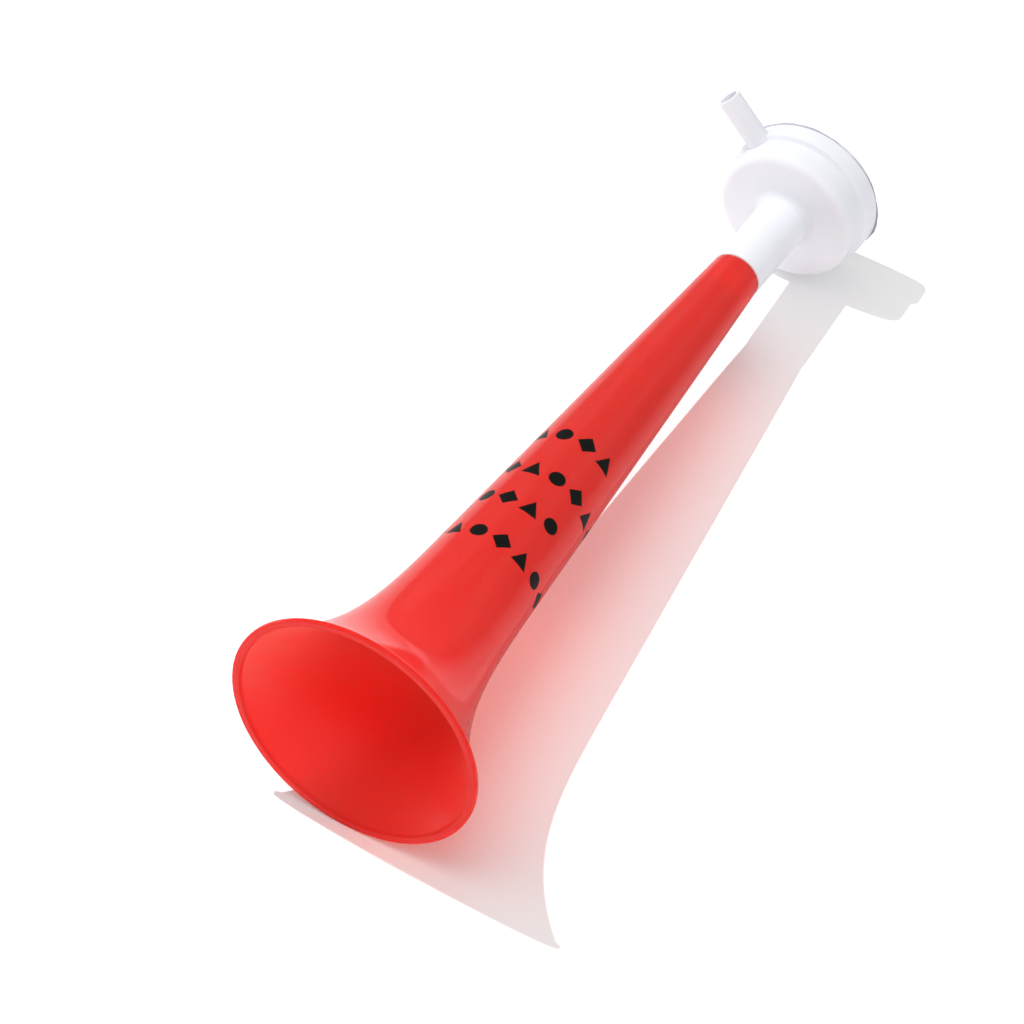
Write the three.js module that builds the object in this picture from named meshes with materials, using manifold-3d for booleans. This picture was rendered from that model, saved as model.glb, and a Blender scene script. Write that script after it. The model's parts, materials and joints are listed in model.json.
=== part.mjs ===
// A stadium horn: a long flared bell on a drum-shaped head that holds a diaphragm and a blow pipe.
// Millimetres, +Z up. The horn lies on the floor on its bell rim and on the collar of its head.
// The origin is on the floor, under the middle of the horn, and the bell's mouth faces -X.

import * as THREE from "three";
import { mergeVertices } from "three/addons/utils/BufferGeometryUtils.js";
import Module from "manifold-3d";

const wasm = await Module();
wasm.setup();

// Fits and facets
const fitClearance = 0.3; // gap between pieces that slide, push or lie on each other
const turnedSides = 48; // facets round the horn, a multiple of 4 so that one lies flat on the floor
const pipeSides = 32;
const arcSteps = 4; // facets on a rounded edge
const flareSteps = 15;
const flareCrowding = 1.4; // above 1, the rings lie closer together near the mouth

// Bell
const bellLength = 251.7; // mouth to small end
const rimRadius = 45;
const bellEndRadius = 9.2; // outside, at the small end
const taperMouthRadius = 24.4; // where the straight taper would reach the mouth without the flare
const flareLength = 96.5;
const flarePower = 4.2; // how late the flare opens
const bellWall = 1.3;
const lipThickness = 1.4; // flat edge round the mouth
const lipWidth = 2.5;
const lipRounding = 0.4;
const bellEndRounding = 0.7;
const socketDepth = 14; // straight bore at the small end that takes the spigot

// Neck and spigot of the head
const neckRadius = 9.35;
const neckLength = 35.3; // small end of the bell to the drum's front face
const neckWall = 1.8;
const neckFillet = 2.8;
const neckChamfer = 0.5; // with the bell's rounded end, it leaves a groove at the joint
const spigotLength = 13;
const spigotWall = 1.6;
const spigotChamfer = 0.6;

// Drum: a cup in front of the seam and a wider collar behind it
const drumRadius = 25.45; // behind the rounded shoulder
const drumShoulder = 2.8;
const drumWall = 1.9;
const drumFrontWall = 1.8;
const drumDraft = 0.15; // growth in radius from the shoulder to the seam
const seamDepth = 10.6; // front face to the seam, where the collar starts
const tongueLength = 2.5; // the front shell's lip that locates the back shell
const tongueThickness = 1;
const collarRadius = 27.1;
const collarFrontRounding = 0.4;
const collarBackRounding = 0.6;
const insideFillet = 1.2;

// Blow pipe
const pipeRadius = 4.3;
const pipeBoreRadius = 3.2;
const pipeDepth = 11.5; // drum's front face to the pipe's axis
const pipeReach = 45; // horn axis to the tip
const pipeSeat = 17; // horn axis to the inner end, on a ledge in the socket
const pipeAngle = THREE.MathUtils.degToRad(46); // from straight up, round to +Y
const pipeTipRounding = 0.4;
const pipeSocketWall = 1.2;
const pipeBackWall = 0.7; // what is left of the socket's wall in front of the diaphragm
const pipeLedge = 1;

// Diaphragm and its clamp ring
const filmThickness = 0.25;
const filmOverhang = 0.2; // how far the collar stands out past the film's trimmed edge
const filmRecess = 1.5; // the diaphragm's depth below the collar's back edge
const clampWall = 1.7;
const clampFlangeWidth = 1.5; // past the collar's bore
const clampFlangeThickness = 0.9;
const clampRounding = 0.3;

// Places along the horn, from the mouth, that follow from the sizes above
const neckStart = bellLength + fitClearance;
const spigotTip = bellLength - spigotLength;
const drumFront = bellLength + neckLength;
const seam = drumFront + seamDepth;
const frontShellEnd = seam - fitClearance / 2;
const backShellStart = seam + fitClearance / 2;
const pipePlace = drumFront + pipeDepth;
const soundTubeEnd = pipePlace + pipeRadius + fitClearance + pipeBackWall;
const filmPanStart = soundTubeEnd + fitClearance;
const filmPanEnd = filmPanStart + filmThickness;
const drumBack = filmPanStart + filmRecess;
const filmBrimStart = drumBack + fitClearance;
const filmBrimEnd = filmBrimStart + filmThickness;

// Radii that follow from the sizes above
const socketRadius = bellEndRadius - bellWall;
const spigotRadius = socketRadius - fitClearance;
const spigotBoreRadius = spigotRadius - spigotWall;
const neckBoreRadius = neckRadius - neckWall;
const drumBore = drumRadius - drumWall;
const seamRadius = drumRadius + drumDraft;
const tongueRadius = drumBore + tongueThickness;
const collarBore = tongueRadius + fitClearance;
const filmWallRadius = collarBore - fitClearance;
const filmBrimRadius = collarRadius - filmOverhang;
const clampRadius = filmWallRadius - filmThickness - fitClearance;
const pipeSocketRadius = pipeRadius + fitClearance + pipeSocketWall;

// Points of a rounded corner, from one angle to another, both in degrees.
// A point is (radius, place along the horn), and 0 degrees points away from the axis.
function arc(radius, place, rounding, from, to) {
  const points = [];
  for (let i = 0; i <= arcSteps; i++) {
    const angle = THREE.MathUtils.degToRad(from + ((to - from) * i) / arcSteps);
    points.push([radius + rounding * Math.cos(angle), place + rounding * Math.sin(angle)]);
  }
  return points;
}

// Revolves a closed outline of (radius, place) points about the horn's axis, which runs along +X.
function turned(outline) {
  const points = [...outline, outline[0]].map(([radius, place]) => new THREE.Vector2(radius, place));
  const halfFacet = Math.PI / turnedSides;
  const geometry = new THREE.LatheGeometry(points, turnedSides, halfFacet);
  return geometry.rotateZ(-Math.PI / 2);
}

// Revolves a closed outline of (radius, distance from the horn's axis) points about the blow pipe's axis.
function turnedOnPipe(outline) {
  const points = [...outline, outline[0]].map(([radius, reach]) => new THREE.Vector2(radius, reach));
  const geometry = new THREE.LatheGeometry(points, pipeSides);
  return geometry.rotateX(Math.PI / 2 - pipeAngle).translate(pipePlace, 0, 0);
}

// A solid rod on the blow pipe's axis.
function pipeRod(radius, from, to) {
  return toSolid(turnedOnPipe([[0, from], [radius, from], [radius, to], [0, to]]));
}

// A ring between two radii and two places along the horn.
function ring(inner, outer, from, to) {
  return toSolid(turned([[inner, from], [outer, from], [outer, to], [inner, to]]));
}

function toSolid(geometry) {
  const bare = geometry.clone();
  bare.deleteAttribute("normal");
  bare.deleteAttribute("uv");
  const merged = mergeVertices(bare, 1e-4);
  const vertProperties = merged.attributes.position.array;
  const triVerts = new Uint32Array(merged.index.array);
  return new wasm.Manifold(new wasm.Mesh({ numProp: 3, vertProperties, triVerts }));
}

function toGeometry(solid) {
  const mesh = solid.getMesh();
  const geometry = new THREE.BufferGeometry();
  geometry.setAttribute("position", new THREE.BufferAttribute(mesh.vertProperties, 3));
  geometry.setIndex(new THREE.BufferAttribute(mesh.triVerts, 1));
  const faceted = geometry.toNonIndexed();
  faceted.computeVertexNormals();
  return faceted;
}

// Outside radius of the bell: a straight taper plus a flare that opens towards the mouth.
function bellRadius(place) {
  const taper = bellEndRadius + (taperMouthRadius - bellEndRadius) * (1 - place / bellLength);
  const nearness = Math.max(0, 1 - place / flareLength);
  return taper + (rimRadius - taperMouthRadius) * nearness ** flarePower;
}

// How fast that radius falls with the place along the horn.
function bellSlope(place) {
  const taperSlope = (taperMouthRadius - bellEndRadius) / bellLength;
  const nearness = Math.max(0, 1 - place / flareLength);
  const flareSlope = ((rimRadius - taperMouthRadius) * flarePower) / flareLength;
  return taperSlope + flareSlope * nearness ** (flarePower - 1);
}

// Inside radius of the bell: the same curve, a wall's thickness inwards.
function bellBore(place) {
  return bellRadius(place) - bellWall * Math.hypot(1, bellSlope(place));
}

function bell() {
  const stations = [];
  for (let i = 0; i <= flareSteps; i++) {
    const share = (i / flareSteps) ** flareCrowding;
    stations.push(lipThickness + (flareLength - lipThickness) * share);
  }
  const socketStart = bellLength - socketDepth;
  const outside = stations.map((place) => [bellRadius(place), place]);
  const inside = stations.map((place) => [bellBore(place), place]).reverse();
  return turned([
    [rimRadius - lipWidth, 0],
    ...arc(rimRadius - lipRounding, lipRounding, lipRounding, -90, 0),
    [rimRadius, lipThickness],
    ...outside,
    ...arc(bellEndRadius - bellEndRounding, bellLength - bellEndRounding, bellEndRounding, 0, 90),
    [socketRadius, bellLength],
    [socketRadius, socketStart],
    [bellBore(socketStart), socketStart],
    ...inside,
  ]);
}

// Front shell of the head: spigot, neck, sound tube and the drum's cup, in one moulding.
function headFront() {
  const shell = toSolid(turned([
    [spigotBoreRadius, spigotTip],
    [spigotRadius - spigotChamfer, spigotTip],
    [spigotRadius, spigotTip + spigotChamfer],
    [spigotRadius, neckStart],
    [neckRadius - neckChamfer, neckStart],
    [neckRadius, neckStart + neckChamfer],
    ...arc(neckRadius + neckFillet, drumFront - neckFillet, neckFillet, 180, 90),
    ...arc(drumRadius - drumShoulder, drumFront + drumShoulder, drumShoulder, -90, 0),
    [seamRadius, frontShellEnd],
    [tongueRadius, frontShellEnd],
    [tongueRadius, seam + tongueLength],
    [drumBore, seam + tongueLength],
    ...arc(drumBore - insideFillet, drumFront + drumFrontWall + insideFillet, insideFillet, 0, -90),
    [neckRadius, drumFront + drumFrontWall],
    [neckRadius, soundTubeEnd],
    [neckBoreRadius, soundTubeEnd],
    [neckBoreRadius, neckStart + spigotWall],
    [spigotBoreRadius, neckStart + spigotWall],
  ]));
  const tongueGap = pipeRod(pipeSocketRadius + fitClearance, pipeSeat, collarRadius);
  const behindSeam = ring(neckRadius, collarRadius, frontShellEnd, drumBack);
  const wallMiddle = drumRadius - drumWall / 2;
  return toGeometry(
    shell
      .subtract(tongueGap.intersect(behindSeam))
      .add(pipeSocket(wallMiddle, drumFront, frontShellEnd))
      .subtract(pipeHole()),
  );
}

// The part of the blow pipe's socket between two places along the horn, out to the middle of a shell's wall.
function pipeSocket(wallMiddle, from, to) {
  const rod = pipeRod(pipeSocketRadius, pipeSeat - pipeLedge, collarRadius);
  return rod.intersect(ring(neckRadius, wallMiddle, from, to));
}

// The pipe's way in: its own size down to the ledge, and the size of its bore through the ledge.
function pipeHole() {
  const seat = pipeRod(pipeRadius + fitClearance, pipeSeat, pipeReach);
  const through = pipeRod(pipeBoreRadius, neckRadius + fitClearance, pipeReach);
  return seat.add(through);
}

// Back shell of the head: the collar that closes the drum and carries the diaphragm on its back edge.
function headBack() {
  const front = collarFrontRounding;
  const back = collarBackRounding;
  const shell = toSolid(turned([
    [collarBore, backShellStart],
    ...arc(collarRadius - front, backShellStart + front, front, -90, 0),
    ...arc(collarRadius - back, drumBack - back, back, 0, 90),
    [collarBore, drumBack],
  ]));
  const wallMiddle = (collarBore + collarRadius) / 2;
  return toGeometry(shell.add(pipeSocket(wallMiddle, backShellStart, soundTubeEnd)).subtract(pipeHole()));
}

function blowPipe() {
  return turnedOnPipe([
    [pipeBoreRadius, pipeSeat + fitClearance],
    [pipeRadius, pipeSeat + fitClearance],
    ...arc(pipeRadius - pipeTipRounding, pipeReach - pipeTipRounding, pipeTipRounding, 0, 90),
    [pipeBoreRadius, pipeReach],
  ]);
}

// A film disc with its middle pushed into the drum's open back and its edge trimmed on the collar.
function diaphragm() {
  return turned([
    [0, filmPanStart],
    [filmWallRadius, filmPanStart],
    [filmWallRadius, filmBrimStart],
    [filmBrimRadius, filmBrimStart],
    [filmBrimRadius, filmBrimEnd],
    [filmWallRadius - filmThickness, filmBrimEnd],
    [filmWallRadius - filmThickness, filmPanEnd],
    [0, filmPanEnd],
  ]);
}

// A ring with a flange, pressed into the drum's back to hold the diaphragm.
function clampRing() {
  const flangeStart = filmBrimEnd + fitClearance;
  const flangeEnd = flangeStart + clampFlangeThickness;
  const flangeRadius = collarBore + clampFlangeWidth;
  return turned([
    [clampRadius - clampWall, filmPanEnd + fitClearance],
    [clampRadius, filmPanEnd + fitClearance],
    [clampRadius, flangeStart],
    [flangeRadius, flangeStart],
    ...arc(flangeRadius - clampRounding, flangeEnd - clampRounding, clampRounding, 0, 90),
    [clampRadius - clampWall, flangeEnd],
  ]);
}

function piece(name, geometry, color, roughness) {
  const material = new THREE.MeshStandardMaterial({ color, roughness, metalness: 0 });
  const mesh = new THREE.Mesh(geometry, material);
  mesh.name = name;
  return mesh;
}

// The horn lies with a facet of its rim and a facet of its collar on the floor.
function layDown(horn) {
  const flatness = Math.cos(Math.PI / turnedSides);
  const drop = (rimRadius - collarRadius) * flatness;
  const run = drumBack - collarBackRounding - lipThickness;
  horn.rotation.y = Math.atan2(drop, run);
  horn.updateMatrixWorld(true);
  const box = new THREE.Box3().setFromObject(horn, true);
  const middle = box.getCenter(new THREE.Vector3());
  horn.position.set(-middle.x, -middle.y, -box.min.z);
}

const horn = new THREE.Group();
horn.add(
  piece("bell", bell(), 0xe8382f, 0.22),
  piece("head_front", headFront(), 0xeeeef2, 0.3),
  piece("head_back", headBack(), 0xeeeef2, 0.3),
  piece("blow_pipe", blowPipe(), 0xdedee4, 0.4),
  piece("diaphragm", diaphragm(), 0x2a2636, 0.15),
  piece("clamp_ring", clampRing(), 0xeeeef2, 0.3),
);
layDown(horn);

const stadiumHorn = new THREE.Group();
stadiumHorn.add(horn);

export default stadiumHorn;
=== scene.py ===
# Dresses the stadium horn: a fine model of each of its six pieces, their plastics, a pale floor, light.
# Outlines are in millimetres, as (radius, place along the horn from its mouth). The scene is in metres.

import json
import math

import bpy
from mathutils import Matrix, Vector


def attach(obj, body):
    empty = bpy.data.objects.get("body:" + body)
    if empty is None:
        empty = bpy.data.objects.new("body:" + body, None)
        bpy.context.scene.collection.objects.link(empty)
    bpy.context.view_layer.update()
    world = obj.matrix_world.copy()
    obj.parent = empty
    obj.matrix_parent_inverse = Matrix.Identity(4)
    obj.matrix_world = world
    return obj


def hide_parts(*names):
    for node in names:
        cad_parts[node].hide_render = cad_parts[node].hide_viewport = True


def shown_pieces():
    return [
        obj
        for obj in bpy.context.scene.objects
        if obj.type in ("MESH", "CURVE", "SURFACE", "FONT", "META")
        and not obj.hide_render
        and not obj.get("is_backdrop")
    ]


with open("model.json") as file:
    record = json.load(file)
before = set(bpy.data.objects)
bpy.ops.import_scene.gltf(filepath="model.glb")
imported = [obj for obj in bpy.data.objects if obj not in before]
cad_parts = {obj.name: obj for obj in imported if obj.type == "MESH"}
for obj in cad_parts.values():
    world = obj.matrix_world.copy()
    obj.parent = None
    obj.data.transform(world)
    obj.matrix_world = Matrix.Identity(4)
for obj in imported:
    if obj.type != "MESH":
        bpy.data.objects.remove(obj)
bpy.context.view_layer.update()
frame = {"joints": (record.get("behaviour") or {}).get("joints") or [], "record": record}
mm = 0.001
print("stage: packed model loaded")


# Where the horn lies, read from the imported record
def joint(name):
    return next(entry for entry in frame["joints"] if entry["name"] == name)


def mount(name):
    return next(entry for entry in frame["record"]["mounts"] if entry["name"] == name)


alongHorn = Vector(joint("clamp_ring_pull")["axis"]).normalized()
alongPipe = Vector(joint("blow_pipe_pull")["axis"]).normalized()
acrossHorn = Vector((0, 1, 0))
upFromHorn = alongHorn.cross(acrossHorn).normalized()
hornTilt = math.atan2(-alongHorn.z, alongHorn.x)

layout = {
    "rimMountRadius": 43.5,  # horn axis to the point that the mouth's mount names
    "cadFlats": 48,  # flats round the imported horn, which rests on two of them
    "turnSteps": 192,
    "seam": 297.6,  # mouth to the seam of the drum
    "pipe": 298.5,  # mouth to the plane of the blow pipe
}
flatShare = math.cos(math.pi / layout["cadFlats"])  # from the radius at a flat's corners to its middle
mouthCentre = Vector(mount("mouth_rim")["pos_m"]) - upFromHorn * layout["rimMountRadius"] * mm
hornPlace = Matrix.Translation(mouthCentre) @ Matrix.Rotation(hornTilt, 4, "Y")
pipeTurn = alongPipe.to_track_quat("X", "Z").to_matrix().to_4x4()
pipePlace = Matrix.Translation(mouthCentre + alongHorn * layout["pipe"] * mm) @ pipeTurn


# Camera
cameraView = {
    "place": (-0.989691, -0.470573, 1.282646),
    "aim": (-0.012792, 0.021803, 0.0),
    "roll": 4.987,  # degrees, leaning left
    "focalPixels": 5000,
    "picturePixels": 1024,
    "sensor": 36,
    "farthestSeen": 50,
}


def addCamera():
    data = bpy.data.cameras.new("camera")
    camera = bpy.data.objects.new("camera", data)
    bpy.context.scene.collection.objects.link(camera)
    look = Vector(cameraView["aim"]) - Vector(cameraView["place"])
    turn = look.to_track_quat("-Z", "Y").to_matrix().to_4x4()
    roll = Matrix.Rotation(math.radians(cameraView["roll"]), 4, "Z")
    camera.matrix_world = Matrix.Translation(cameraView["place"]) @ turn @ roll
    data.sensor_width = cameraView["sensor"]
    data.lens = cameraView["focalPixels"] / cameraView["picturePixels"] * cameraView["sensor"]
    data.clip_end = cameraView["farthestSeen"]
    bpy.context.scene.camera = camera


# Shader maths: a Wire is a socket that takes part in sums, and a Kit adds nodes to one tree
class Wire:
    def __init__(self, kit, socket):
        self.kit = kit
        self.socket = socket

    def __add__(self, other):
        return self.kit.sum("ADD", self, other)

    def __radd__(self, other):
        return self.kit.sum("ADD", other, self)

    def __sub__(self, other):
        return self.kit.sum("SUBTRACT", self, other)

    def __rsub__(self, other):
        return self.kit.sum("SUBTRACT", other, self)

    def __mul__(self, other):
        return self.kit.sum("MULTIPLY", self, other)

    def __rmul__(self, other):
        return self.kit.sum("MULTIPLY", other, self)

    def __truediv__(self, other):
        return self.kit.sum("DIVIDE", self, other)

    def __rtruediv__(self, other):
        return self.kit.sum("DIVIDE", other, self)

    def __abs__(self):
        return self.kit.sum("ABSOLUTE", self)

    # Another output of the same node
    def sibling(self, output):
        return Wire(self.kit, self.socket.node.outputs[output])


mixSockets = {"share": 0, "first": 6, "second": 7, "result": 2}  # places of a Mix node's colour sockets


class Kit:
    def __init__(self, tree):
        self.tree = tree
        tree.nodes.clear()

    # Adds a node: its type, its settings, the values or wires of its sockets, and the output wanted
    def add(self, kind, settings, sockets, output=0):
        node = self.tree.nodes.new(kind)
        for name, value in settings.items():
            setattr(node, name, value)
        for name, value in sockets.items():
            if isinstance(value, Wire):
                self.tree.links.new(value.socket, node.inputs[name])
            else:
                node.inputs[name].default_value = value
        return Wire(self, node.outputs[output])

    def sum(self, operation, *terms):
        return self.add("ShaderNodeMath", {"operation": operation}, dict(enumerate(terms)))

    # 0 below low, 1 above high, and smooth between
    def rise(self, value, low, high):
        sockets = {"Value": value, "From Min": low, "From Max": high}
        return self.add("ShaderNodeMapRange", {"interpolation_type": "SMOOTHSTEP"}, sockets)

    # 1 between low and high, with soft edges
    def band(self, value, low, high, soft):
        return self.rise(value, low - soft, low + soft) - self.rise(value, high - soft, high + soft)

    def mixColours(self, share, first, second):
        sockets = {mixSockets["share"]: share, mixSockets["first"]: first, mixSockets["second"]: second}
        return self.add("ShaderNodeMix", {"data_type": "RGBA"}, sockets, mixSockets["result"])

    def split(self, vector):
        first = self.add("ShaderNodeSeparateXYZ", {}, {"Vector": vector})
        return [first.sibling(axis) for axis in range(3)]

    def dot(self, vector, fixed):
        settings = {"operation": "DOT_PRODUCT"}
        return self.add("ShaderNodeVectorMath", settings, {0: vector, 1: fixed}, "Value")

    # How far a point lies from the axis or the middle, from its parts along two axes
    def away(self, first, second):
        return self.sum("SQRT", first * first + second * second)

    def noise(self, vector, scale, detail=2):
        return self.add("ShaderNodeTexNoise", {}, {"Vector": vector, "Scale": scale, "Detail": detail})

    # Unevenness of a surface: the scale and detail of its noise, its strength and its height in metres
    def bump(self, vector, scale, detail, strength, height):
        sockets = {"Height": self.noise(vector, scale, detail), "Strength": strength, "Distance": height}
        return self.add("ShaderNodeBump", {}, sockets)

    def output(self, shader, kind="ShaderNodeOutputMaterial"):
        node = self.tree.nodes.new(kind)
        self.tree.links.new(shader.socket, node.inputs["Surface"])


def newMaterial(name):
    material = bpy.data.materials.new(name)
    material.use_nodes = True
    return material, Kit(material.node_tree)


# World and lamps. Directions are azimuths and elevations in degrees
studio = {
    "keyPlace": (0.0538, 1.0286, 1.7232),
    "keySize": 0.012,
    "keyOnWhite": 0.86,  # light that arrives, in watts a square metre
    "keyOnRed": 1.10,
    "keyOnFloor": 2.4,
    "fillLow": 0.36,  # soft light of the room, on the side away from the key
    "fillHigh": 0.736,  # and on the key's side
    "fillRise": (-0.2, 1),  # cosines of the angles from the key between which it goes from low to high
    "softBox": 0.80,  # a broad soft lamp overhead
    "softBoxUnderHead": 0.3,  # share of it on the floor that the head keeps off
    "softBoxPlace": (95, 78, 42),  # its direction and its width in degrees
    "throughRed": 1.15,  # light that comes through the bell's wall from the lit floor and the lit side
    "throughRedPlace": (-103, 2, 90),
    "throughWhite": 0.5,  # and through the white pieces
    "throughWhitePlace": (-115, 15, 90),
    # the room, as gloss mirrors it
    "farFloor": 0.176,  # the ground past the pale floor
    "horizonSoftness": 0.5,  # degrees above and below it
    "dark": 0.272,  # above the horizon
    "windows": 0.16,  # two tall windows past the head
    "leftWindow": (22, 38, 10, 40),  # azimuths of its sides, and elevations of its ends
    "rightWindow": (-34, -18, 10, 38),
    "windowSoftness": (5, 6),  # degrees, of the sides and of the ends
    "front": 0.224,  # a large soft panel on the camera's side
    "frontPlace": (-132, 48, 12, 50),  # its direction, and where it starts and ends to fade from there
    "behind": 0.24,  # how much darker the corner past that panel is
    "behindPlace": (150, 40, 20, 50),
}


# A unit vector
def toward(azimuth, elevation):
    level = math.cos(math.radians(elevation))
    east = level * math.cos(math.radians(azimuth))
    north = level * math.sin(math.radians(azimuth))
    return (east, north, math.sin(math.radians(elevation)))


def addWorld():
    world = bpy.data.worlds.new("studio")
    bpy.context.scene.world = world
    world.use_nodes = True
    kit = Kit(world.node_tree)
    direction = kit.add("ShaderNodeTexCoord", {}, {}, "Generated")
    x, y, z = kit.split(direction)
    degree = math.radians(1)
    elevation = kit.sum("ARCSINE", z) / degree
    azimuth = kit.sum("ARCTAN2", y, x) / degree

    # 1 in the middle of a round patch of the room, and 0 past its edge
    def patch(middleAzimuth, middleElevation, fadeStart, fadeEnd):
        facing = kit.dot(direction, toward(middleAzimuth, middleElevation))
        return kit.rise(facing, math.cos(math.radians(fadeEnd)), math.cos(math.radians(fadeStart)))

    # 1 in an upright window of the room
    def window(left, right, bottom, top):
        softSides, softEnds = studio["windowSoftness"]
        return kit.band(azimuth, left, right, softSides) * kit.band(elevation, bottom, top, softEnds)

    front = patch(*studio["frontPlace"]) * studio["front"]
    behind = patch(*studio["behindPlace"]) * studio["behind"]
    windows = (window(*studio["leftWindow"]) + window(*studio["rightWindow"])) * studio["windows"]
    upper = studio["dark"] + front - behind + windows
    sky = kit.rise(elevation, -studio["horizonSoftness"], studio["horizonSoftness"])
    room = upper * sky + (1 - sky) * studio["farFloor"]
    toKey = tuple(Vector(studio["keyPlace"]).normalized())
    keySide = kit.rise(kit.dot(direction, toKey), *studio["fillRise"])
    fill = studio["fillLow"] + keySide * (studio["fillHigh"] - studio["fillLow"])
    seen = kit.add("ShaderNodeLightPath", {}, {}, "Is Camera Ray")
    mirrored = seen.sibling("Is Glossy Ray")
    strength = (room * mirrored + fill * (1 - mirrored)) * (1 - seen) + seen
    background = kit.add("ShaderNodeBackground", {}, {"Color": (1, 1, 1, 1), "Strength": strength})
    kit.output(background, "ShaderNodeOutputWorld")


def addLamp(name, kind, energy, place):
    data = bpy.data.lights.new(name, kind)
    data.energy = energy
    lamp = bpy.data.objects.new(name, data)
    bpy.context.scene.collection.objects.link(lamp)
    lamp.location = place
    lamp.visible_camera = False
    lamp.visible_glossy = False
    return lamp


def gather(name, pieces):
    group = bpy.data.collections.new(name)
    for piece in pieces:
        group.objects.link(piece)
    return group


# The key light falls on each group of pieces at its own strength, from one small lamp
def addKeyLight(name, strength, lit):
    distance = Vector(studio["keyPlace"]).length
    key = addLamp(name, "POINT", strength * 4 * math.pi * distance * distance, studio["keyPlace"])
    key.data.shadow_soft_size = studio["keySize"]
    key.light_linking.receiver_collection = gather(name, lit)


# A broad lamp, whose shadow is only felt close to what casts it
def addSoftLight(name, strength, place, lit, casting):
    azimuth, elevation, width = place
    lamp = addLamp(name, "SUN", strength, (0, 0, 1))
    lamp.matrix_world = Vector(toward(azimuth, elevation)).to_track_quat("Z", "Y").to_matrix().to_4x4()
    lamp.data.angle = math.radians(width)
    lamp.light_linking.receiver_collection = gather(name, lit)
    lamp.light_linking.blocker_collection = gather(name + "_casting", casting)


# Light that finds its way through the wall into the bell's throat, in the colours that red takes out
throatLight = {
    "watts": 0.012,
    "colour": (0.1, 1.0, 0.85),
    "along": 62,  # mm from the mouth
    "size": 0.008,
}


def addThroatLight(bell):
    place = mouthCentre + alongHorn * throatLight["along"] * mm
    lamp = addLamp("throat", "POINT", throatLight["watts"], place)
    lamp.data.color = throatLight["colour"]
    lamp.data.shadow_soft_size = throatLight["size"]
    lamp.light_linking.receiver_collection = gather("throat_lit", [bell])


# Light that comes out of the bell's underside and colours the floor beside it
glow = {
    "colour": (1.0, 0.07, 0.0),
    "width": 30,
    "down": 18,  # mm under the horn's axis
    "turn": 40,  # degrees from straight down, to the side away from the key
    # one part beside the flare and two beside the taper: watts, mm from mouth to middle, and length
    "parts": ((0.0025, 6, 24), (0.0062, 58, 105), (0.0035, 165, 130)),
}


def addGlow(floor, casting):
    turn = Matrix.Rotation(math.radians(-glow["turn"]), 4, "X")
    lean = turn @ Matrix.Translation((0, 0, -glow["down"] * mm))
    for watts, along, length in glow["parts"]:
        lamp = addLamp("glow_through_bell", "AREA", watts, (0, 0, 0))
        lamp.data.shape = "RECTANGLE"
        lamp.data.size = length * mm
        lamp.data.size_y = glow["width"] * mm
        lamp.data.color = glow["colour"]
        lamp.matrix_world = hornPlace @ Matrix.Translation((along * mm, 0, 0)) @ lean
        lamp.light_linking.receiver_collection = gather("glow_lit", [floor])
        lamp.light_linking.blocker_collection = gather("glow_casting", casting)


# Floor. Each edge gives the metres between which one look goes over to the next
floorLook = {
    "size": 2.4,
    "colour": (0.92, 0.92, 0.92, 1),
    "mirroredNear": 0.60,  # share of the floor's light that gloss mirrors close to the horn
    "mirroredInShade": 0.74,  # times that, on the side of the horn's shadow
    "shadeEdge": (-0.01, 0.04),
    "mirroredFar": 0.28,  # far from the horn
    "farEdge": (0.10, 0.42),
    "keySideShare": 0.5,  # how much less of that change there is on the key's side
    "keySideEdge": (-0.05, 0.25),
    "plainEdge": (0.30, 0.55),  # where the floor turns plain white, as the world is
}


def addFloor():
    look = floorLook
    bpy.ops.mesh.primitive_plane_add(size=look["size"], location=(0, 0, 0))
    floor = bpy.context.object
    floor.name = "floor"
    material, kit = newMaterial("floor")
    matt = kit.add("ShaderNodeBsdfDiffuse", {}, {"Color": look["colour"]})
    unlit = kit.add("ShaderNodeEmission", {}, {"Strength": 0.0})
    plain = kit.add("ShaderNodeEmission", {}, {"Strength": 1.0})
    seen = kit.add("ShaderNodeLightPath", {}, {}, "Is Camera Ray")
    x, y = kit.split(kit.add("ShaderNodeTexCoord", {}, {}, "Object"))[:2]
    away = kit.away(x, y)
    keySide = kit.rise(y, *look["keySideEdge"]) * look["keySideShare"]
    far = kit.rise(away, *look["farEdge"]) * (1 - keySide)
    shade = kit.rise(0 - y, *look["shadeEdge"]) * (1 - look["mirroredInShade"])
    near = look["mirroredNear"] * (1 - shade)
    mirrored = near + far * (look["mirroredFar"] - near)
    unseen = seen.sibling("Is Glossy Ray") * (1 - mirrored)
    plainShare = seen * kit.rise(away, *look["plainEdge"])
    lit = kit.add("ShaderNodeMixShader", {}, {0: unseen, 1: matt, 2: unlit})
    kit.output(kit.add("ShaderNodeMixShader", {}, {0: plainShare, 1: lit, 2: plain}))
    floor.data.materials.append(material)
    floor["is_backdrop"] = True
    return floor


# Modelling steps
def selectOnly(piece):
    bpy.ops.object.select_all(action="DESELECT")
    piece.select_set(True)
    bpy.context.view_layer.objects.active = piece


# Points of a rounded corner round (radius, place), from one angle to another in degrees
def corner(radius, place, rounding, start, end, steps=6):
    points = []
    for step in range(steps + 1):
        angle = math.radians(start + (end - start) * step / steps)
        points.append((radius + rounding * math.cos(angle), place + rounding * math.sin(angle)))
    return points


weldDistance = 0.002 * mm


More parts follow.
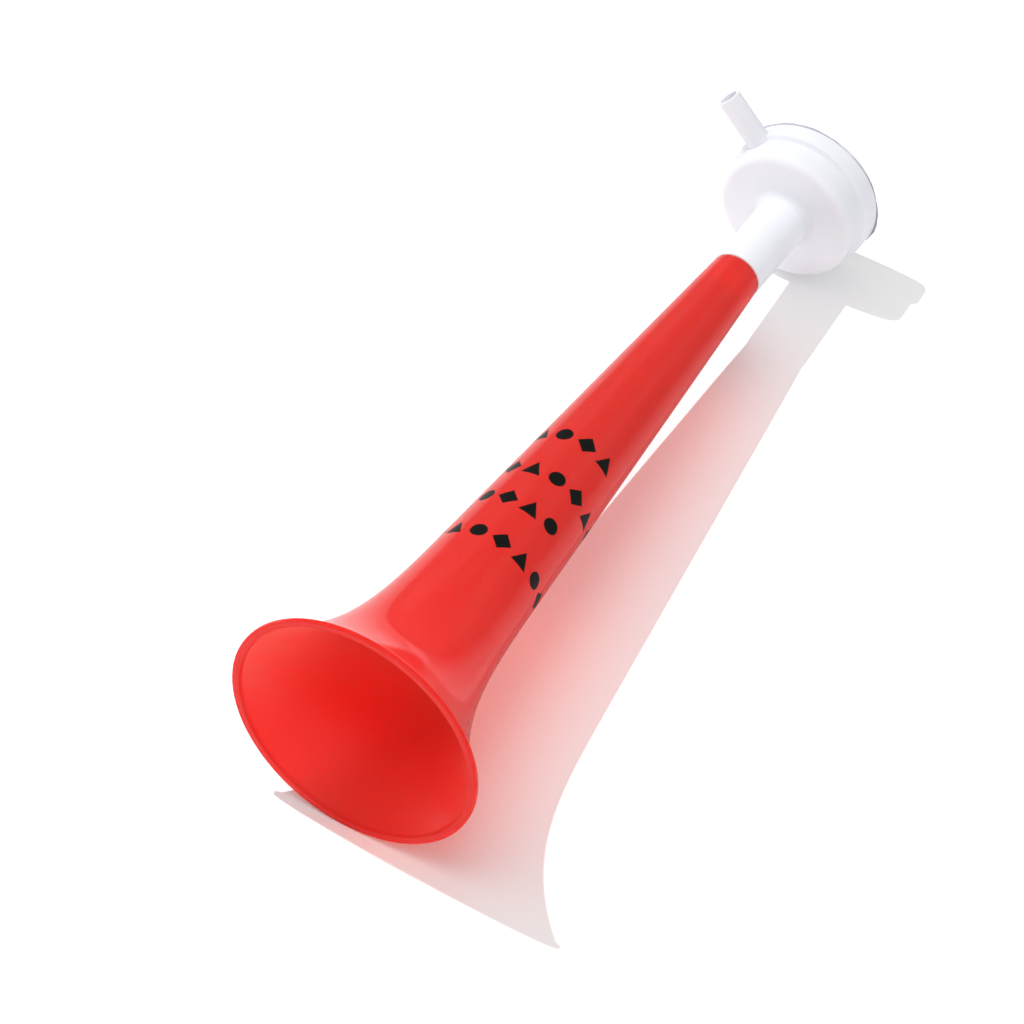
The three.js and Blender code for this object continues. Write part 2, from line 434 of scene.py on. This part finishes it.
# Draws a closed outline from one vertex by extruding it, spins it about the X axis and puts it in place
def turnOutline(name, outline, place=hornPlace, steps=layout["turnSteps"]):
    bpy.ops.object.select_all(action="DESELECT")
    bpy.ops.mesh.primitive_plane_add(size=mm, location=(0, 0, 0))
    piece = bpy.context.object
    piece.name = piece.data.name = name
    bpy.ops.object.mode_set(mode="EDIT")
    bpy.ops.mesh.merge(type="CENTER")
    points = [Vector((along, 0, radius * flatShare)) * mm for radius, along in outline]
    bpy.ops.transform.translate(value=points[0])
    for here, there in zip(points, points[1:] + points[:1]):
        bpy.ops.mesh.extrude_vertices_move(TRANSFORM_OT_translate={"value": there - here})
    bpy.ops.mesh.select_all(action="SELECT")
    bpy.ops.mesh.spin(steps=steps, angle=2 * math.pi, center=(0, 0, 0), axis=(1, 0, 0))
    bpy.ops.mesh.select_all(action="SELECT")
    bpy.ops.mesh.remove_doubles(threshold=weldDistance)
    bpy.ops.mesh.normals_make_consistent(inside=False)
    bpy.ops.object.mode_set(mode="OBJECT")
    piece.matrix_world = place
    bpy.ops.object.transform_apply(location=True, rotation=True, scale=True)
    return piece


# Sharp edges stay only where faces meet at more than the angle, in degrees
def smooth(piece, angle=30):
    selectOnly(piece)
    bpy.ops.object.shade_smooth_by_angle(angle=math.radians(angle))


def dress(piece, material, body, node):
    piece.data.materials.clear()
    piece.data.materials.append(material)
    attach(piece, body)
    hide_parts(node)
    print("stage:", piece.name, len(piece.data.polygons), "faces")


# Bell
bellShape = {
    "length": 251.7,
    "rimRadius": 45.0,
    "endRadius": 9.2,
    "taperMouthRadius": 24.4,  # what the taper comes to at the mouth, without the flare
    "flareLength": 96.5,
    "flarePower": 4.2,
    "wall": 1.3,
    "lipThickness": 1.4,
    "lipWidth": 2.5,
    "lipRounding": 0.35,
    "lipInnerRounding": 0.25,
    "lipChamfer": 0.2,
    "endRounding": 0.7,
    "socketDepth": 14.0,
    "flareSteps": 64,
    "flareCrowding": 1.4,  # over 1 crowds the steps towards the mouth
    "taperSteps": 12,
    "slopeStep": 0.01,  # over which the wall's slope is measured
}


def bellRadius(place):
    shape = bellShape
    mouth, end = shape["taperMouthRadius"], shape["endRadius"]
    taper = end + (mouth - end) * (1 - place / shape["length"])
    nearness = max(0.0, 1 - place / shape["flareLength"])
    return taper + (shape["rimRadius"] - mouth) * nearness ** shape["flarePower"]


def bellBore(place):
    step = bellShape["slopeStep"]
    slope = (bellRadius(place + step) - bellRadius(place)) / step
    return bellRadius(place) - bellShape["wall"] * math.hypot(1, slope)


def makeBell():
    shape = bellShape
    rim, lip, end = shape["rimRadius"], shape["lipThickness"], shape["length"]
    flare, flareSteps, taperSteps = shape["flareLength"], shape["flareSteps"], shape["taperSteps"]
    shares = [(step / flareSteps) ** shape["flareCrowding"] for step in range(flareSteps + 1)]
    places = [lip + (flare - lip) * share for share in shares]
    places += [flare + (end - flare) * step / taperSteps for step in range(1, taperSteps)]
    socketStart = end - shape["socketDepth"]
    socketRadius = shape["endRadius"] - shape["wall"]
    lipRounding, innerRounding = shape["lipRounding"], shape["lipInnerRounding"]
    endRounding = shape["endRounding"]
    outline = corner(rim - shape["lipWidth"], innerRounding, innerRounding, -150, -90, steps=3)
    outline += corner(rim - lipRounding, lipRounding, lipRounding, -90, 0)
    outline += [(rim, lip - shape["lipChamfer"])]
    outline += [(bellRadius(place), place) for place in places]
    outline += corner(shape["endRadius"] - endRounding, end - endRounding, endRounding, 0, 90)
    outline += [(socketRadius, end), (socketRadius, socketStart), (bellBore(socketStart), socketStart)]
    outline += [(bellBore(place), place) for place in reversed(places) if place < socketStart]
    return turnOutline("bell_shell", outline)


# Head: its two shells
headShape = {
    "neckStart": 251.85,
    "neckRadius": 9.35,
    "neckBore": 7.55,
    "neckFillet": 2.8,
    "neckChamfer": 0.5,
    "spigotTip": 238.7,
    "spigotRadius": 7.6,
    "spigotBore": 6.0,
    "spigotWall": 1.6,
    "spigotChamfer": 0.6,
    "drumFront": 287.0,
    "drumBack": 305.6,
    "drumRadius": 25.45,
    "shoulder": 2.8,
    "drumBore": 23.55,
    "frontWall": 1.8,
    "insideFillet": 1.2,
    "soundTubeEnd": 303.8,
    "seamRadius": 25.6,
    "seamGap": 0.01,
    "seamRounding": 0.08,
    "tongueLength": 2.5,
    "tongueRadius": 24.55,
    "collarBore": 24.85,
    "collarRadius": 27.1,
    "collarRise": 1.5,  # length over which the collar swells out from the seam
    "collarBulge": 0.8,  # under 1 brings the swelling nearer to the seam
    "collarSteps": 12,
    "collarBackRounding": 0.6,
}


def makeHeadFront():
    shape = headShape
    neck, bore = shape["neckRadius"], shape["neckBore"]
    neckStart, drumFront = shape["neckStart"], shape["drumFront"]
    chamfer, fillet, shoulder = shape["neckChamfer"], shape["neckFillet"], shape["shoulder"]
    seam = layout["seam"] - shape["seamGap"] / 2
    edge, inside = shape["seamRounding"], shape["insideFillet"]
    boreStart = neckStart + shape["spigotWall"]
    insideFront = drumFront + shape["frontWall"]
    tongueEnd = seam + shape["tongueLength"]
    outline = [
        (shape["spigotBore"], shape["spigotTip"]),
        (shape["spigotRadius"] - shape["spigotChamfer"], shape["spigotTip"]),
        (shape["spigotRadius"], shape["spigotTip"] + shape["spigotChamfer"]),
        (shape["spigotRadius"], neckStart),
    ]
    outline += corner(neck - chamfer, neckStart + chamfer, chamfer, -90, 0)
    outline += corner(neck + fillet, drumFront - fillet, fillet, 180, 90, steps=12)
    outline += corner(shape["drumRadius"] - shoulder, drumFront + shoulder, shoulder, -90, 0, steps=12)
    outline += corner(shape["seamRadius"] - edge, seam - edge, edge, 0, 90, steps=3)
    outline += [(shape["tongueRadius"], seam), (shape["tongueRadius"], tongueEnd)]
    outline += [(shape["drumBore"], tongueEnd)]
    outline += corner(shape["drumBore"] - inside, insideFront + inside, inside, 0, -90)
    outline += [(neck, insideFront), (neck, shape["soundTubeEnd"]), (bore, shape["soundTubeEnd"])]
    outline += [(bore, boreStart), (shape["spigotBore"], boreStart)]
    return turnOutline("head_front_shell", outline)


def makeHeadBack():
    shape = headShape
    seam = layout["seam"] + shape["seamGap"] / 2
    rounding = shape["collarBackRounding"]
    outline = [(shape["collarBore"], seam)]
    for step in range(shape["collarSteps"] + 1):
        share = step / shape["collarSteps"]
        swell = (1 - math.cos(math.pi * share ** shape["collarBulge"])) / 2
        radius = shape["seamRadius"] + (shape["collarRadius"] - shape["seamRadius"]) * swell
        outline.append((radius, seam + shape["collarRise"] * share))
    outline += corner(shape["collarRadius"] - rounding, shape["drumBack"] - rounding, rounding, 0, 90)
    outline += [(shape["collarBore"], shape["drumBack"])]
    return turnOutline("head_back_shell", outline)


# Blow pipe, with its places measured along its own axis from the horn's
pipeShape = {
    "radius": 4.3,
    "bore": 3.2,
    "start": 17.3,
    "tip": 45.0,
    "tipRounding": 0.4,
    "turnSteps": 96,
    "roomRadius": 4.36,  # of its way through the drum
    "roomEnd": 35,
    "socketRadius": 5.2,  # the socket inside the drum, with a ledge that the pipe stands on
    "socketBore": 4.4,
    "socketStart": 16.0,
    "socketEnd": 24.2,
}


def makeBlowPipe():
    shape = pipeShape
    tip, outer = shape["tip"], shape["tipRounding"]
    inner = outer / 2
    outline = [(shape["bore"], shape["start"]), (shape["radius"], shape["start"])]
    outline += corner(shape["radius"] - outer, tip - outer, outer, 0, 90)
    outline += corner(shape["bore"] + inner, tip - inner, inner, 90, 180, steps=3)
    return turnOutline("blow_pipe_tube", outline, pipePlace, shape["turnSteps"])


# Joins a turned form on the blow pipe's axis to a shell, or cuts it out
def workOnPipeAxis(shell, operation, outline):
    form = turnOutline("pipe_form", outline, pipePlace, pipeShape["turnSteps"])
    step = shell.modifiers.new("on pipe axis", "BOOLEAN")
    step.operation = operation
    step.solver = "EXACT"
    step.object = form
    selectOnly(shell)
    bpy.ops.object.modifier_apply(modifier=step.name)
    bpy.data.objects.remove(form)


def addPipeSocket(shell):
    shape = pipeShape
    outline = [(shape["bore"], shape["socketStart"]), (shape["socketRadius"], shape["socketStart"])]
    outline += [(shape["socketRadius"], shape["socketEnd"]), (shape["socketBore"], shape["socketEnd"])]
    outline += [(shape["socketBore"], shape["start"]), (shape["bore"], shape["start"])]
    workOnPipeAxis(shell, "UNION", outline)


# The blow pipe's way through a shell of the drum
def cutPipeRoom(shell):
    start, end, radius = pipeShape["start"], pipeShape["roomEnd"], pipeShape["roomRadius"]
    workOnPipeAxis(shell, "DIFFERENCE", [(0, start), (radius, start), (radius, end), (0, end)])


# Diaphragm: a pan that the clamp ring holds, and an edge that was trimmed by hand on the collar
filmShape = {
    "thickness": 0.16,
    "wallRadius": 24.5,
    "panStart": 304.1,
    "panRings": 4,
    "edgeRadius": 27.15,
    "edgeStart": 305.66,
    "edgeRings": (1.2, 2.0),  # past the wall's radius: the trimmed edge wanders from the first one on
    # how its radius wanders: waves round the edge, how high they are, and their turn in degrees
    "waves": ((1, 0.22, 40), (3, 0.20, 20), (7, 0.13, 75), (17, 0.09, 10), (41, 0.06, 0)),
    # where the trimming left the film wider: middle and half width in degrees, and how much
    "flap": (-100, 26, 0.5),
    "leastHeight": 0.05,  # of the edge above the floor
}


# How far the trimmed edge wanders outwards, at an angle round the horn
def edgeWander(angle):
    wander = 0
    for count, high, turn in filmShape["waves"]:
        wander += high * math.sin(count * angle + math.radians(turn))
    middle, halfWidth, extra = filmShape["flap"]
    nearFlap = max(0.0, 1 - abs(math.degrees(angle) - middle) / halfWidth)
    return wander + extra * math.sin(nearFlap * math.pi / 2)


def trimEdge(film):
    shape = filmShape
    still = shape["wallRadius"] + shape["edgeRings"][0]
    for vertex in film.data.vertices:
        away = vertex.co - mouthCentre
        outwards = away - alongHorn * away.dot(alongHorn)
        radius = outwards.length / mm / flatShare
        if radius < still:
            continue
        angle = math.atan2(outwards.dot(acrossHorn), outwards.dot(upFromHorn))
        share = (radius - still) / (shape["edgeRadius"] - still)
        vertex.co += outwards.normalized() * edgeWander(angle) * share * mm
        vertex.co.z = max(vertex.co.z, shape["leastHeight"] * mm)


def makeDiaphragm():
    shape = filmShape
    wall, panStart, edgeStart = shape["wallRadius"], shape["panStart"], shape["edgeStart"]
    inner = wall - shape["thickness"]
    panEnd = panStart + shape["thickness"]
    edgeEnd = edgeStart + shape["thickness"]
    panRadii = [inner * (ring / shape["panRings"]) for ring in range(1, shape["panRings"])]
    edgeRadii = [wall + extra for extra in shape["edgeRings"]] + [shape["edgeRadius"]]
    outline = [(0, panStart)] + [(radius, panStart) for radius in panRadii]
    outline += [(wall, panStart), (wall, edgeStart)]
    outline += [(radius, edgeStart) for radius in edgeRadii]
    outline += [(radius, edgeEnd) for radius in reversed(edgeRadii)]
    outline += [(inner, edgeEnd), (inner, panEnd)]
    outline += [(radius, panEnd) for radius in reversed(panRadii)] + [(0, panEnd)]
    film = turnOutline("diaphragm_film", outline)
    trimEdge(film)
    return film


# Clamp ring
ringShape = {
    "outer": 24.2,
    "inner": 22.3,
    "flangeRadius": 26.3,
    "start": 304.45,
    "flangeStart": 305.95,
    "flangeEnd": 307.3,
    "rounding": 0.3,
}


def makeClampRing():
    shape = ringShape
    inner, outer, flange = shape["inner"], shape["outer"], shape["flangeRadius"]
    end, rounding = shape["flangeEnd"], shape["rounding"]
    outline = [(inner, shape["start"]), (outer, shape["start"])]
    outline += [(outer, shape["flangeStart"]), (flange, shape["flangeStart"])]
    outline += corner(flange - rounding, end - rounding, rounding, 0, 90)
    outline += corner(inner + rounding, end - rounding, rounding, 90, 180)
    return turnOutline("clamp_ring_moulding", outline)


# Plastics. A rise gives the values between which one look goes over to the next, in metres where nothing
# is said. A bump gives the scale and detail of its noise, its strength and its height in metres
def hornCoordinates(kit):
    here = kit.add("ShaderNodeTexCoord", {}, {}, "Object")
    sockets = {"Vector": here, "Location": mouthCentre, "Rotation": (0, hornTilt, 0)}
    return kit.add("ShaderNodeMapping", {"vector_type": "TEXTURE"}, sockets)


redPlastic = {
    "colour": (0.85, 0.031, 0.024, 1),
    "deepColour": (0.84, 0.028, 0.0215, 1),  # in clouds all over
    "cloudScale": 18,
    "cloudRise": (0.35, 0.75),  # of the noise
    # painted shade: the flare's outside darker than the taper, most at the mouth
    "flareShadeColour": (0.75, 0.028, 0.022, 1),
    "flareShadeRise": (0.04, 0.14),  # metres from the mouth over which the painted shade fades out
    # painted shade: the lip darker than the rest of the wall, within about a millimetre and a half of
    # the mouth
    "lipShadeColour": (0.65, 0.024, 0.018, 1),
    "lipShadeRise": (0.0003, 0.0015),
    "scatter": (1.0, 0.09, 0.075),
    "scatterDepth": 0.006,
    "roughness": 0.07,
    "ior": 1.40,
    "bump": (60, 1, 0.06, 0.0006),
    "insideRise": (-1.2, -0.5),  # mm from the outer skin
    "insideRoughness": 0.32,  # the inside left the mould dull
    # painted light and shade: the inside wall a deeper red but paler in green and blue than the outside,
    # standing in for the light inside the bell
    "insideLightAndShade": (0.75, 0.041, 0.032, 1),
    # painted reflection: the upper inside paler, as if mirroring the bright room
    "insideTopReflection": (0.74, 0.105, 0.085, 1),
    "insideTopReflectionRise": (-0.02, 0.03),  # above the horn's axis, where the painted reflection comes in
    "insideTopReflectionLean": 0.3,  # and how much lower that is for each metre from the mouth
    "ink": (0.006, 0.007, 0.006, 1),
    "inkRoughness": 0.3,
    "inkIor": 1.2,
}


# How far outside the bell's outer skin a point lies, in millimetres
def outsideBell(kit, along, distance):
    shape = bellShape
    place = along / mm
    mouth = shape["taperMouthRadius"]
    taper = mouth - place * ((mouth - shape["endRadius"]) / shape["length"])
    nearness = kit.sum("MAXIMUM", 1 - place / shape["flareLength"], 0.0)
    flare = kit.sum("POWER", nearness, shape["flarePower"]) * (shape["rimRadius"] - mouth)
    return distance / mm - taper - flare


printedPattern = {
    # rows: place from the mouth, start and end round the horn in degrees, and which shape comes first
    "rows": ((138, -52, 66, 0), (118, -103, 66, 1), (101, -42, 66, 2), (82, -103, 66, 0)),
    "pitch": 8.8,  # mm from one printed shape to the next
    "size": 3.7,  # mm from a diamond's middle to its corners
    "dotRadius": 0.8,  # this and the next two are shares of the size
    "triangleTop": 0.9,
    "triangleBase": 0.8,
    "triangleSlope": 1.8,
    "triangleSharpness": 0.7,  # brings the softness of its sides near to the others'
    "inkSoftness": 0.12,  # mm
    "cellsBefore": 40,  # added while shapes are counted, so that no count is under 0
    "cutOff": 0.001,  # radians, so short that a shape at a row's end is whole or left out
}


# 1 on the printed rows of plain shapes: diamonds, dots and triangles by turns
def printedRows(kit, along, angle):
    look = printedPattern
    size, pitch, before = look["size"], look["pitch"], look["cellsBefore"]
    top, base = size * look["triangleTop"], size * look["triangleBase"]
    total = None
    for place, start, end, first in look["rows"]:
        radius = bellRadius(place)
        high = along / mm - place
        turned = angle * radius / pitch + before
        cell = kit.sum("FLOOR", turned)
        wide = (turned - cell - 0.5) * pitch
        diamond = abs(wide) + abs(high) - size
        dot = kit.away(wide, high) - size * look["dotRadius"]
        side = abs(wide) * look["triangleSlope"] + high - top
        triangle = kit.sum("MAXIMUM", side, -base - high) * look["triangleSharpness"]
        kind = kit.sum("MODULO", cell + first, 3.0)
        isDiamond = kit.sum("LESS_THAN", kind, 0.5)
        isTriangle = kit.sum("GREATER_THAN", kind, 1.5)
        edge = diamond * isDiamond + triangle * isTriangle + dot * (1 - isDiamond - isTriangle)
        middle = (cell + 0.5 - before) * pitch / radius
        kept = kit.band(middle, math.radians(start), math.radians(end), look["cutOff"])
        row = (1 - kit.rise(edge, -look["inkSoftness"], look["inkSoftness"])) * kept
        total = row if total is None else total + row
    return total


def makeRedPlastic():
    material, kit = newMaterial("red_plastic")
    look = redPlastic
    place = hornCoordinates(kit)
    along, across, up = kit.split(place)
    insideSkin = 1 - kit.rise(outsideBell(kit, along, kit.away(across, up)), *look["insideRise"])
    cloud = kit.rise(kit.noise(place, look["cloudScale"]), *look["cloudRise"])
    clouded = kit.mixColours(cloud, look["colour"], look["deepColour"])
    # painted shade on the flare's outside
    outer = kit.mixColours(kit.rise(along, *look["flareShadeRise"]), look["flareShadeColour"], clouded)
    # painted reflection on the upper inside
    reflectedTop = kit.rise(up + along * look["insideTopReflectionLean"], *look["insideTopReflectionRise"])
    inner = kit.mixColours(reflectedTop, look["insideLightAndShade"], look["insideTopReflection"])
    # the inside wall takes the painted light and shade, and the painted reflection on its upper part
    wall = kit.mixColours(insideSkin, outer, inner)
    # painted shade on the lip
    colour = kit.mixColours(kit.rise(along, *look["lipShadeRise"]), look["lipShadeColour"], wall)
    roughness = look["roughness"] + insideSkin * (look["insideRoughness"] - look["roughness"])
    bump = kit.bump(place, *look["bump"])
    gloss = kit.add("ShaderNodeBsdfPrincipled", {}, {
        "Base Color": colour, "Roughness": roughness, "IOR": look["ior"], "Normal": bump,
        "Subsurface Weight": 1.0, "Subsurface Radius": look["scatter"],
        "Subsurface Scale": look["scatterDepth"]})
    ink = kit.add("ShaderNodeBsdfPrincipled", {}, {
        "Base Color": look["ink"], "Roughness": look["inkRoughness"], "IOR": look["inkIor"],
        "Normal": bump})
    printed = printedRows(kit, along, kit.sum("ARCTAN2", across, up)) * (1 - insideSkin)
    kit.output(kit.add("ShaderNodeMixShader", {}, {0: printed, 1: gloss, 2: ink}))
    return material


whitePlastic = {
    "colour": (0.855, 0.866, 0.920, 1),
    "cloudColour": (0.868, 0.878, 0.928, 1),
    "cloudScale": 35,
    "cloudRise": (0.3, 0.7),  # of the noise
    "roughness": 0.28,
    "ior": 1.48,
    "bump": (90, 1, 0.05, 0.0005),
}
pipePlastic = {
    "colour": (0.84, 0.85, 0.90, 1),
    "cloudColour": (0.86, 0.868, 0.915, 1),
    "cloudScale": 50,
    "cloudRise": (0.3, 0.7),
    "roughness": 0.35,
    "ior": 1.48,
    "bump": (120, 1, 0.05, 0.0004),
}
darkFilm = {
    "colour": (0.04, 0.038, 0.06, 1),
    "cloudColour": (0.09, 0.085, 0.16, 1),
    "cloudScale": 90,
    "cloudDetail": 3,
    "cloudRise": (0.25, 0.8),
    "sheenColour": (0.75, 0.745, 0.81, 1),  # painted sheen on the trimmed edge, palest on its top, towards the light
    "leastSheen": 0.5,  # share of it all round the edge
    "sheenRise": (26.0, 26.4),  # mm from the horn's axis to where the edge starts
    "topDirection": 50,  # degrees round the horn to the middle of that top, the side towards the light
    "topRise": (-20, 12),  # mm from the horn's axis towards that side
    "topWander": 8,  # mm that the clouds move it, from least to most
    "roughness": 0.25,
    "ior": 1.45,
    "bump": (200, 3, 0.3, 0.0004),
}


# Ends a material with a gloss over its colour
def addGloss(kit, look, colour, place):
    gloss = kit.add("ShaderNodeBsdfPrincipled", {}, {
        "Base Color": colour, "Roughness": look["roughness"], "IOR": look["ior"],
        "Normal": kit.bump(place, *look["bump"])})
    kit.output(gloss)


def makeWhitePlastic(name, look):
    material, kit = newMaterial(name)
    place = hornCoordinates(kit)
    cloud = kit.rise(kit.noise(place, look["cloudScale"]), *look["cloudRise"])
    addGloss(kit, look, kit.mixColours(cloud, look["colour"], look["cloudColour"]), place)
    return material


def makeFilm():
    material, kit = newMaterial("dark_film")
    look = darkFilm
    place = hornCoordinates(kit)
    across, up = kit.split(place)[1:]
    cloud = kit.noise(place, look["cloudScale"], look["cloudDetail"])
    direction = math.radians(look["topDirection"])
    towardsTop = (up * math.cos(direction) + across * math.sin(direction)) / mm
    height = towardsTop + (cloud - 0.5) * look["topWander"]
    onEdge = kit.rise(kit.away(across, up) / mm, *look["sheenRise"])
    least = look["leastSheen"]
    # painted sheen: the trimmed edge paler all round, most on the side towards the light
    sheen = (least + kit.rise(height, *look["topRise"]) * (1 - least)) * onEdge
    dark = kit.mixColours(kit.rise(cloud, *look["cloudRise"]), look["colour"], look["cloudColour"])
    addGloss(kit, look, kit.mixColours(sheen, dark, look["sheenColour"]), place)
    return material


addCamera()
addWorld()
floor = addFloor()
print("stage: camera, world and floor")

white = makeWhitePlastic("white_plastic", whitePlastic)
bell = makeBell()
dress(bell, makeRedPlastic(), "bell", "bell")
headFront = makeHeadFront()
headBack = makeHeadBack()
cutPipeRoom(headFront)
cutPipeRoom(headBack)
addPipeSocket(headFront)
dress(headFront, white, "head", "head_front")
dress(headBack, white, "head", "head_back")
pipeWhite = makeWhitePlastic("pipe_plastic", pipePlastic)
dress(makeBlowPipe(), pipeWhite, "blow_pipe", "blow_pipe")
dress(makeDiaphragm(), makeFilm(), "diaphragm", "diaphragm")
dress(makeClampRing(), white, "clamp_ring", "clamp_ring")
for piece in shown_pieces():
    smooth(piece)

whitePieces = [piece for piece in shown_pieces() if piece != bell]  # the film counts as one of them
addKeyLight("key_on_white", studio["keyOnWhite"], whitePieces)
addKeyLight("key_on_red", studio["keyOnRed"], [bell])
addKeyLight("key_on_floor", studio["keyOnFloor"], [floor])
addSoftLight("box_on_pieces", studio["softBox"], studio["softBoxPlace"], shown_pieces(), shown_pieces())
underHead = studio["softBox"] * studio["softBoxUnderHead"]
addSoftLight("box_on_floor", studio["softBox"] - underHead, studio["softBoxPlace"], [floor], [bell])
addSoftLight("box_round_head", underHead, studio["softBoxPlace"], [floor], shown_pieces())
addSoftLight("through_red", studio["throughRed"], studio["throughRedPlace"], [bell], [bell])
addSoftLight("through_white", studio["throughWhite"], studio["throughWhitePlace"], whitePieces, [])
addGlow(floor, whitePieces)
addThroatLight(bell)
print("stage: lamps")

bpy.context.scene.view_settings.view_transform = "Standard"

print("stage: finished")
